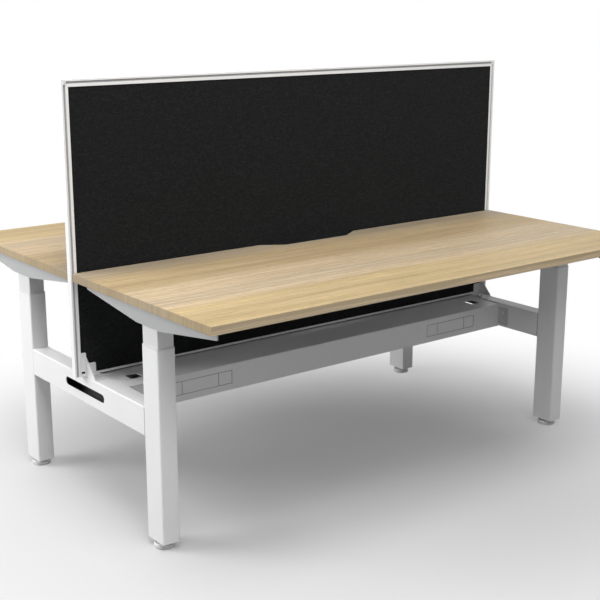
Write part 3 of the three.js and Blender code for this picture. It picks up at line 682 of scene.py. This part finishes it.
CLOTH_COLUMNS = 72
CLOTH_ROWS = 36
for row, sign in ROWS.items():
    cloth = bmesh.new()
    grid = []
    for line in range(CLOTH_ROWS + 1):
        along = line / CLOTH_ROWS
        strip = []
        for step in range(CLOTH_COLUMNS + 1):
            across = step / CLOTH_COLUMNS
            edge = min(across, 1.0 - across, along, 1.0 - along)
            pull = 0.00012 * math.sin(23.0 * across + 2.0 * along) * math.sin(17.0 * along + 1.3)
            tuck = 0.0006 * max(0.0, 1.0 - edge / 0.006)
            strip.append(cloth.verts.new((
                low.x + across * (high.x - low.x), sign * (high.y - 0.0002 - tuck) + pull,
                low.z + along * (high.z - low.z))))
        grid.append(strip)
    for below, above in zip(grid, grid[1:]):
        for step in range(CLOTH_COLUMNS):
            corners = (below[step], below[step + 1], above[step + 1], above[step])
            cloth.faces.new(corners if sign < 0 else corners[::-1])
    bmesh.ops.solidify(cloth, geom=cloth.faces[:], thickness=CLOTH_THICK - 0.0005)
    bmesh.ops.recalc_face_normals(cloth, faces=cloth.faces)
    cloth_mesh = to_mesh(cloth, f"screen_cloth_{row}", crease=60.0)
    piece = add_piece(
        f"screen_panel.cloth_{row}", cloth_mesh, "base_frame", "screen_fabric", [charcoal_cloth], "screen_panel")


# Inner columns: the moving stage of each lifting leg, a smaller steel tube that
# slides in the collar. Powder-coated white, with its head under the support arm.
# The columns' coat is a little greyer than the legs' white: painted shade under the worktops.
COLUMN_PAINTED_SHADE = (0.75, 0.75, 0.75, 1.0)
column_shade_coat = finished("column_shade_coat", powder_coat, {
    "Colour": COLUMN_PAINTED_SHADE, "Mottle": 0.010, "Peel Scale": 620.0,
}, 0.00025)
for row in ROWS:
    for end in ENDS:
        dressed(f"{row}_column_{end}", "tube", f"{row}_station", "white_steel", column_shade_coat, TUBE_ARRIS)


# Gear motors and spindles: inside each column hangs a motor with its gearbox, which
# turns a rolled steel spindle in the nut post. Bare and plated steel, out of sight.
MOTOR_GREY = (0.30, 0.31, 0.32, 1.0)
SPINDLE_LEAD = 0.016
SPINDLE_STARTS = 4
SPINDLE_DEPTH = 0.0011
motor_steel = finished("motor_steel", bare_steel, {
    "Colour": MOTOR_GREY, "Draw Scale": (120.0, 120.0, 900.0),
}, 0.0001, metallic=0.9)
spindle_steel = finished("spindle_steel", bare_steel, {
    "Colour": BOLT_GREY, "Draw Scale": (900.0, 900.0, 120.0),
}, 0.0001, metallic=1.0)
for row in ROWS:
    for end in ENDS:
        node = f"{row}_motor_{end}"
        low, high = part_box(node)
        radius = (high.x - low.x) / 2
        axis = ((low.x + high.x) / 2, (low.y + high.y) / 2, low.z)
        length = high.z - low.z
        can = [(0.0, 0.0), (radius * 0.55, 0.0), (radius * 0.58, 0.003), (radius * 0.96, 0.004), (radius, 0.006)]
        can += [(radius, length * 0.42), (radius * 0.93, length * 0.43), (radius * 0.93, length * 0.46)]
        can += [(radius, length * 0.47), (radius, length - 0.003), (radius * 0.9, length), (0.0, length)]
        mesh = to_mesh(turned(can, 48, axis), node, crease=30.0)
        add_piece(f"{node}.can", mesh, f"{row}_station", "steel", [motor_steel], node)

        node = f"{row}_spindle_{end}"
        low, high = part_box(node)
        radius = (high.x - low.x) / 2
        length = high.z - low.z
        sides = 24
        turns = int(length / 0.001)
        spindle = bmesh.new()
        rings = []
        for ring in range(turns + 1):
            up = length * ring / turns
            points = []
            for step in range(sides):
                turn = step / sides
                phase = SPINDLE_STARTS * (up / SPINDLE_LEAD - turn) % 1.0
                flank = min(max((abs(phase - 0.5) - 0.14) * 9.0, 0.0), 1.0)
                reach = radius - SPINDLE_DEPTH * flank
                points.append(spindle.verts.new((
                    (low.x + high.x) / 2 + reach * math.cos(2.0 * math.pi * turn),
                    (low.y + high.y) / 2 + reach * math.sin(2.0 * math.pi * turn), low.z + up)))
            rings.append(points)
        for below, above in zip(rings, rings[1:]):
            for step in range(sides):
                after = (step + 1) % sides
                spindle.faces.new((below[step], below[after], above[after], above[step]))
        spindle.faces.new(rings[0][::-1])
        spindle.faces.new(rings[-1])
        mesh = to_mesh(spindle, node, crease=70.0)
        add_piece(f"{node}.screw", mesh, node, "steel", [spindle_steel], node)


# Support arms and crossbars: cut and folded steel arms with tapered webs, one over
# each column, tied by two tubes along the worktop. Powder-coated, and screwed up
# into the board through the arm's flange.
# The arms' coat is grey, darker than the white legs and crossbars: painted shade from the worktop's overhang.
ARM_PAINTED_SHADE = (0.45, 0.454, 0.458, 1.0)
arm_shade_coat = finished("arm_shade_coat", powder_coat, {
    "Colour": ARM_PAINTED_SHADE, "Mottle": 0.012, "Peel Scale": 620.0,
}, 0.00025)
for row, sign in ROWS.items():
    screws = []
    for end, side in ENDS.items():
        node = f"{row}_arm_{end}"
        dressed(node, "folded", f"{row}_station", "white_steel", arm_shade_coat, 0.0004, least=30.0)
        low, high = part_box(node)
        inner = min(abs(low.x), abs(high.x))
        for reach in (0.11, 0.22, 0.59, 0.69):
            screws.append(((side * (inner + 0.017), sign * reach, high.z - 0.004), (0.0, 0.0, -1.0)))
    for label in ("outer", "inner"):
        dressed(f"{row}_crossbar_{label}", "tube", f"{row}_station", "white_steel", coated_steel, TUBE_ARRIS)
    bolt_set(f"{row}_arm_screws", f"{row}_station", screws)


# Worktops: 25 mm boards faced with oak-grain melamine and edged with matching strip,
# with a long cable scallop cut in the edge beside the screen. Arrises just eased.
OAK_SCREEN_SHADOW = (0.39, 0.318, 0.228, 1.0)
OAK_TAN = (0.525, 0.393, 0.220, 1.0)
OAK_UMBER = (0.47, 0.345, 0.195, 1.0)
OAK_PALE = (0.625, 0.488, 0.318, 1.0)
OAK_GREY = (0.535, 0.437, 0.312, 1.0)
OAK_GOLD = (0.585, 0.446, 0.240, 1.0)
OAK_HONEY = (0.505, 0.380, 0.200, 1.0)
OAK_LINE = (0.30, 0.215, 0.12, 1.0)
# The first stops, nearest the screen, are a dark grey-brown: painted shadow of the screen on the boards.
OAK_BANDS = (
    (0.020, OAK_SCREEN_SHADOW), (0.060, OAK_SCREEN_SHADOW), (0.150, OAK_TAN), (0.215, OAK_TAN), (0.246, OAK_UMBER),
    (0.275, OAK_TAN), (0.350, OAK_PALE), (0.425, OAK_PALE), (0.442, OAK_GREY), (0.456, OAK_PALE),
    (0.470, OAK_GREY), (0.486, OAK_PALE), (0.498, OAK_GREY), (0.515, OAK_PALE), (0.540, OAK_PALE),
    (0.565, OAK_GOLD), (0.620, OAK_GOLD), (0.660, OAK_HONEY), (0.680, OAK_GOLD), (0.705, OAK_HONEY),
    (0.725, OAK_HONEY), (0.755, OAK_GOLD),
)
OAK_REACH = 0.8
END_OAK = (0.32, 0.25, 0.155, 1.0)
END_EVENNESS = 0.6
REAR_PAINTED_SHADE = (0.95, 0.925, 0.87, 1.0)
EDGE_BROWN = (0.425, 0.33, 0.21, 1.0)
EDGE_TURN = 0.7428
EDGE_WANDER = 0.006
EDGE_BLEND = 0.0025
EDGE_FOOT = 0.730
EDGE_BAND = 0.47
EDGE_SPREAD = 5.0
EDGE_SLIDE = 0.08
BACKING_WHITE = (0.80, 0.80, 0.80, 1.0)
BOARD_ARRIS = 0.0009
SCALLOP_MOUTH = 0.206
SCALLOP_FLOOR = 0.133
SCALLOP_DEPTH = 0.048
SCALLOP_ROUND = 0.008
SCALLOP_STEPS = 6

oak_grain, entry, leave = finish_group("oak_grain", (
    ("Along", "NodeSocketFloat"), ("Across", "NodeSocketFloat"),
), SURFACE_OUT)


def grain_noise(along_scale, across_scale, detail, roughness=0.5):
    stretched = add_node(oak_grain, "ShaderNodeCombineXYZ", {
        "X": combine(oak_grain, "MULTIPLY", entry["Along"], along_scale),
        "Y": combine(oak_grain, "MULTIPLY", wandering, across_scale),
    })
    return add_node(oak_grain, "ShaderNodeTexNoise", {
        "Vector": stretched.outputs["Vector"], "Scale": 1.0, "Detail": detail, "Roughness": roughness,
    }, noise_dimensions="2D").outputs["Fac"]


wandering = entry["Across"]
sway = combine(oak_grain, "MULTIPLY", spread(oak_grain, grain_noise(1.1, 2.5, 1.0), -1.0, 1.0), 0.006)
ripple = combine(oak_grain, "MULTIPLY", spread(oak_grain, grain_noise(4.0, 14.0, 1.0), -1.0, 1.0), 0.0016)
wandering = combine(oak_grain, "ADD", entry["Across"], combine(oak_grain, "ADD", sway, ripple))
bands = add_node(oak_grain, "ShaderNodeValToRGB", {
    "Fac": combine(oak_grain, "DIVIDE", wandering, OAK_REACH)})
ramp = bands.color_ramp
ramp.interpolation = "LINEAR"
while len(ramp.elements) < len(OAK_BANDS):
    ramp.elements.new(0.5)
for element, (reach, colour) in zip(ramp.elements, OAK_BANDS):
    element.position = reach / OAK_REACH
    element.color = colour
streak_noise = grain_noise(1.5, 62.0, 3.0, 0.62)
broad = spread(oak_grain, grain_noise(0.7, 24.0, 2.0), 0.955, 1.045)
streak = spread(oak_grain, streak_noise, 0.88, 1.10)
fine = spread(oak_grain, grain_noise(3.0, 170.0, 3.0, 0.6), 0.86, 1.11)
dash = spread(oak_grain, grain_noise(13.0, 260.0, 2.0, 0.6), 0.88, 1.10)
long_shade = combine(oak_grain, "MULTIPLY", broad, streak)
shade = combine(oak_grain, "MULTIPLY", long_shade, combine(oak_grain, "MULTIPLY", fine, dash))
board_tone = tinted(oak_grain, bands.outputs["Color"], shade)


def grain_mask(noise, low, high, most):
    return add_node(oak_grain, "ShaderNodeMapRange", {
        "Value": noise, "From Min": low, "From Max": high, "To Max": most,
    }).outputs["Result"]


fleck = grain_mask(grain_noise(1.3, 46.0, 2.0, 0.55), 0.54, 0.70, 0.30)
flecked = add_node(oak_grain, "ShaderNodeMix", {
    0: fleck, 6: board_tone, 7: OAK_GREY}, data_type="RGBA").outputs[2]
lines = grain_mask(grain_noise(1.1, 115.0, 3.0, 0.55), 0.56, 0.72, 0.5)
pores = grain_mask(grain_noise(34.0, 1300.0, 2.0, 0.5), 0.56, 0.68, 0.55)
lined = add_node(oak_grain, "ShaderNodeMix", {
    0: combine(oak_grain, "MAXIMUM", lines, pores), 6: flecked, 7: OAK_LINE,
}, data_type="RGBA").outputs[2]
oak_grain.links.new(lined, leave["Colour"])
oak_grain.links.new(spread(oak_grain, streak_noise, 0.5, 0.62), leave["Roughness"])
oak_grain.links.new(combine(oak_grain, "SUBTRACT", 1.0, pores), leave["Height"])

oak_board, tree = start_material("oak_board")
place = add_node(tree, "ShaderNodeTexCoord").outputs["Object"]
split = add_node(tree, "ShaderNodeSeparateXYZ", {0: place}).outputs
facing = add_node(tree, "ShaderNodeNewGeometry").outputs["Normal"]
lean = add_node(tree, "ShaderNodeSeparateXYZ", {0: facing}).outputs
from_screen = add_node(tree, "ShaderNodeMath", {0: split["Y"]}, operation="ABSOLUTE").outputs[0]
upright = add_node(tree, "ShaderNodeMath", {0: lean["Y"]}, operation="ABSOLUTE").outputs[0]
on_edge = combine(tree, "GREATER_THAN", upright, 0.7)
lifted = combine(tree, "MULTIPLY", combine(tree, "SUBTRACT", split["Z"], EDGE_FOOT), EDGE_SPREAD)
slid = combine(tree, "MULTIPLY", split["X"], EDGE_SLIDE)
up_edge = combine(tree, "SUBTRACT", combine(tree, "SUBTRACT", EDGE_BAND, lifted), slid)
across = add_node(tree, "ShaderNodeMix", {0: on_edge, 2: from_screen, 3: up_edge}, data_type="FLOAT").outputs[0]
surface = add_node(tree, "ShaderNodeGroup", {"Along": split["X"], "Across": across}, node_tree=oak_grain).outputs
endways = add_node(tree, "ShaderNodeMath", {0: lean["X"]}, operation="ABSOLUTE").outputs[0]
on_end = combine(tree, "GREATER_THAN", endways, 0.7)
drift = add_node(tree, "ShaderNodeTexNoise", {
    "W": split["X"], "Scale": 2.3, "Detail": 2.0,
}, noise_dimensions="1D").outputs["Fac"]
turn = combine(tree, "ADD", spread(tree, drift, -EDGE_WANDER, EDGE_WANDER), EDGE_TURN)
brown_part = add_node(tree, "ShaderNodeMapRange", {
    "Value": combine(tree, "SUBTRACT", split["Z"], turn), "From Min": -EDGE_BLEND, "From Max": EDGE_BLEND,
    "To Max": 0.85,
}).outputs["Result"]
edged = add_node(tree, "ShaderNodeMix", {
    0: combine(tree, "MULTIPLY", brown_part, on_edge), 6: surface["Colour"], 7: EDGE_BROWN,
}, data_type="RGBA").outputs[2]
# The rear board's oak is multiplied darker and warmer: painted shade.
on_rear = combine(tree, "GREATER_THAN", split["Y"], 0.0)
toned = add_node(tree, "ShaderNodeMix", {
    0: on_rear, 6: edged, 7: REAR_PAINTED_SHADE,
}, data_type="RGBA", blend_type="MULTIPLY").outputs[2]
board_colour = add_node(tree, "ShaderNodeMix", {
    0: combine(tree, "MULTIPLY", on_end, END_EVENNESS), 6: toned, 7: END_OAK,
}, data_type="RGBA").outputs[2]
relief = add_node(tree, "ShaderNodeBump", {"Height": surface["Height"], "Strength": 0.25, "Distance": 0.0002})
shader = add_node(tree, "ShaderNodeBsdfPrincipled", {
    "Base Color": board_colour, "Roughness": surface["Roughness"],
    "Specular IOR Level": 0.35, "Normal": relief.outputs["Normal"],
})
add_node(tree, "ShaderNodeOutputMaterial", {"Surface": shader.outputs["BSDF"]})


backing_sheet = finished("backing_sheet", moulded_plastic, {
    "Colour": BACKING_WHITE, "Texture Scale": 900.0, "Sheen Break": 0.12,
}, 0.0001)


def rounded_corner(start, corner, end):
    points = []
    for step in range(SCALLOP_STEPS + 1):
        t = step / SCALLOP_STEPS
        s = 1.0 - t
        points.append(tuple(s * s * a + 2.0 * s * t * b + t * t * c for a, b, c in zip(start, corner, end)))
    return points


def scallop_edge(back):
    dip = back + SCALLOP_DEPTH
    ramp_length = math.hypot(SCALLOP_MOUTH - SCALLOP_FLOOR, SCALLOP_DEPTH)
    along_x = SCALLOP_ROUND * (SCALLOP_MOUTH - SCALLOP_FLOOR) / ramp_length
    along_y = SCALLOP_ROUND * SCALLOP_DEPTH / ramp_length
    upper = rounded_corner(
        (SCALLOP_MOUTH + SCALLOP_ROUND, back), (SCALLOP_MOUTH, back), (SCALLOP_MOUTH - along_x, back + along_y))
    lower = rounded_corner(
        (SCALLOP_FLOOR + along_x, dip - along_y), (SCALLOP_FLOOR, dip), (SCALLOP_FLOOR - SCALLOP_ROUND, dip))
    return upper + lower


for row, sign in ROWS.items():
    node = f"{row}_worktop"
    low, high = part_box(node)
    back = min(abs(low.y), abs(high.y))
    front = max(abs(low.y), abs(high.y))
    scallop = scallop_edge(back)
    outline = [(high.x, front), (high.x, back)] + scallop
    outline += [(-x, y) for x, y in reversed(scallop)] + [(low.x, back), (low.x, front)]
    board = bmesh.new()
    board.faces.new([board.verts.new((x, sign * y, low.z)) for x, y in outline])
    lifted = bmesh.ops.extrude_face_region(board, geom=board.faces[:])["geom"]
    raised = [item for item in lifted if isinstance(item, bmesh.types.BMVert)]
    bmesh.ops.translate(board, verts=raised, vec=(0.0, 0.0, high.z - low.z))
    bmesh.ops.recalc_face_normals(board, faces=board.faces)
    mesh = to_mesh(ease(board, BOARD_ARRIS, steps=3), node, crease=60.0)
    flat_lit(add_piece(f"{node}.board", mesh, f"{row}_station", "oak_board", [oak_board, backing_sheet], node))
    for face in mesh.polygons:
        face.material_index = 1 if face.normal.z < -0.95 else 0


# Control boxes: black moulded housings screwed up under each worktop, with a mains
# inlet in the side towards the duct and four housing screws underneath.
HOUSING_BLACK = (0.022, 0.022, 0.024, 1.0)
PIN_BRASS = (0.70, 0.60, 0.40, 1.0)
housing_plastic = finished("housing_plastic", moulded_plastic, {
    "Colour": HOUSING_BLACK, "Texture Scale": 1100.0, "Sheen Break": 0.18,
}, 0.0003)
inlet_brass = finished("inlet_brass", bare_steel, {
    "Colour": PIN_BRASS, "Draw Scale": (500.0, 500.0, 500.0),
}, 0.0001, metallic=1.0)
for row, sign in ROWS.items():
    node = f"{row}_control_box"
    dressed(node, "housing", f"{row}_station", "black_plastic", housing_plastic, 0.0012)
    low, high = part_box(node)
    screws = []
    for x in (low.x + 0.012, high.x - 0.012):
        for y in (low.y + 0.012, high.y - 0.012):
            screws.append(((x, y, low.z), (0.0, 0.0, -1.0)))
    bolt_set(f"{row}_control_box_screws", f"{row}_station", screws, radius=0.003, rise=0.0014)
    inlet_floor = -sign * 0.012 + (high.y if sign < 0 else low.y)
    pins = bmesh.new()
    for x, z in ((-0.007, -0.002), (0.007, -0.002), (0.0, 0.003)):
        pin = bmesh.new()
        bmesh.ops.create_cube(pin, size=1.0)
        bmesh.ops.scale(pin, vec=(0.002, 0.009, 0.004), verts=pin.verts)
        middle = ((low.x + high.x) / 2 + x, inlet_floor - sign * 0.0045, (low.z + high.z) / 2 + z)
        bmesh.ops.translate(pin, vec=middle, verts=pin.verts)
        merge(pins, ease(pin, 0.0004))
    add_piece(
        f"{row}_inlet_pins", to_mesh(pins, "inlet_pins", crease=60.0), f"{row}_station", "steel", [inlet_brass])


# Handsets and buttons: a wedge of black plastic under each user's right hand, with
# two grey push buttons, each with a raised arrow for up or down.
BUTTON_GREY = (0.12, 0.125, 0.13, 1.0)
ARROW_PALE = (0.62, 0.63, 0.64, 1.0)
ARROW_RISE = 0.00015
button_plastic = finished("button_plastic", moulded_plastic, {
    "Colour": BUTTON_GREY, "Texture Scale": 1500.0, "Sheen Break": 0.12,
}, 0.0002)
arrow_plastic = finished("arrow_plastic", moulded_plastic, {
    "Colour": ARROW_PALE, "Texture Scale": 1500.0, "Sheen Break": 0.05,
}, 0.0001)
for row, sign in ROWS.items():
    dressed(f"{row}_handset", "wedge", f"{row}_station", "black_plastic", housing_plastic, 0.0012, least=25.0)
    for press, way in (("down", -1), ("up", 1)):
        node = f"{row}_button_{press}"
        dressed(node, "cap", node, "grey_plastic", button_plastic, 0.0007)
        low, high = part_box(node)
        face = (low.y if sign < 0 else high.y) - sign * 0.0002
        middle_x = (low.x + high.x) / 2
        middle_z = (low.z + high.z) / 2
        arrow = bmesh.new()
        tip = [(-0.004, -0.002), (0.004, -0.002), (0.0, 0.0025)]
        flat = arrow.faces.new([arrow.verts.new((middle_x + x, face, middle_z + way * z)) for x, z in tip])
        lifted = bmesh.ops.extrude_face_region(arrow, geom=[flat])["geom"]
        raised = [item for item in lifted if isinstance(item, bmesh.types.BMVert)]
        bmesh.ops.translate(arrow, verts=raised, vec=(0.0, sign * (ARROW_RISE + 0.0002), 0.0))
        bmesh.ops.recalc_face_normals(arrow, faces=arrow.faces)
        add_piece(f"{node}.arrow", to_mesh(arrow, "arrow"), node, "grey_plastic", [arrow_plastic])
